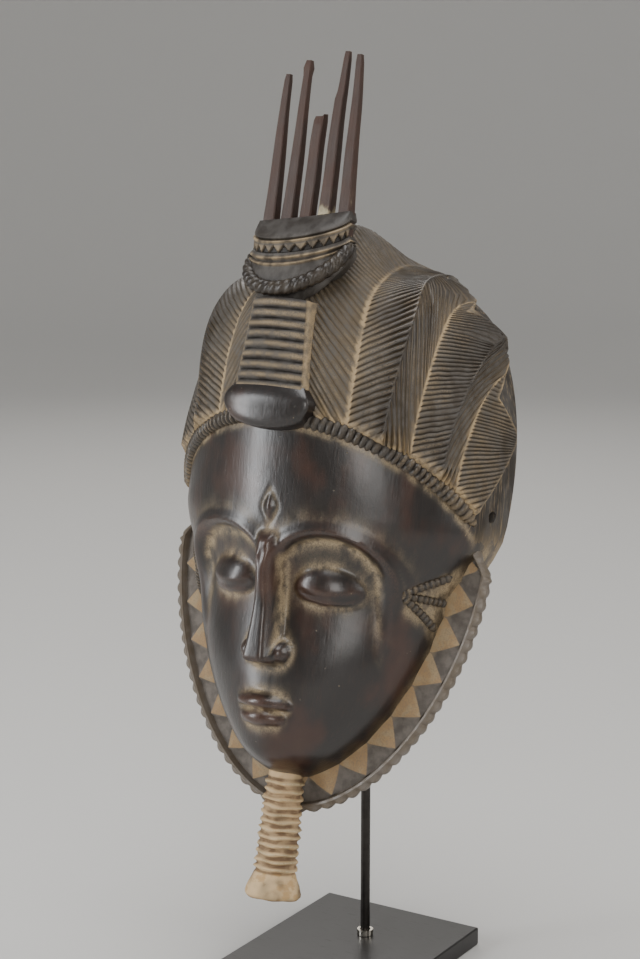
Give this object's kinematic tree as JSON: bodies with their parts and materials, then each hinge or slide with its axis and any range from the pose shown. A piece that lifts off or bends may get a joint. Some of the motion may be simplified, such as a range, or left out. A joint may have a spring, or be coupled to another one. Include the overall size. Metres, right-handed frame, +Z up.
{
  "type": "carved face mask on stand",
  "caption": "Carved wooden face mask with a comb crest, pleated hair, scalloped jaw collar and ringed beard, held upright on a slim rod and a flat base plate.",
  "frame": {"origin": "middle of the base plate's underside, which is the middle of the box's bottom", "axes": "+Z up, the mask faces -Y, +X to the right of someone facing the mask"},
  "size_m": [0.1876, 0.16, 0.4889],
  "materials": {
    "carved_wood": "dark polished wood with pale dust in the carving",
    "lacquered_plate": "glossy black",
    "bright_collar": "satin",
    "dark_rod": "dark satin"
  },
  "bodies": {
    "root": {"mask": "carved_wood", "stand_base": "lacquered_plate", "stand_collar": "bright_collar", "stand_rod": "dark_rod"}
  },
  "joints": []
}
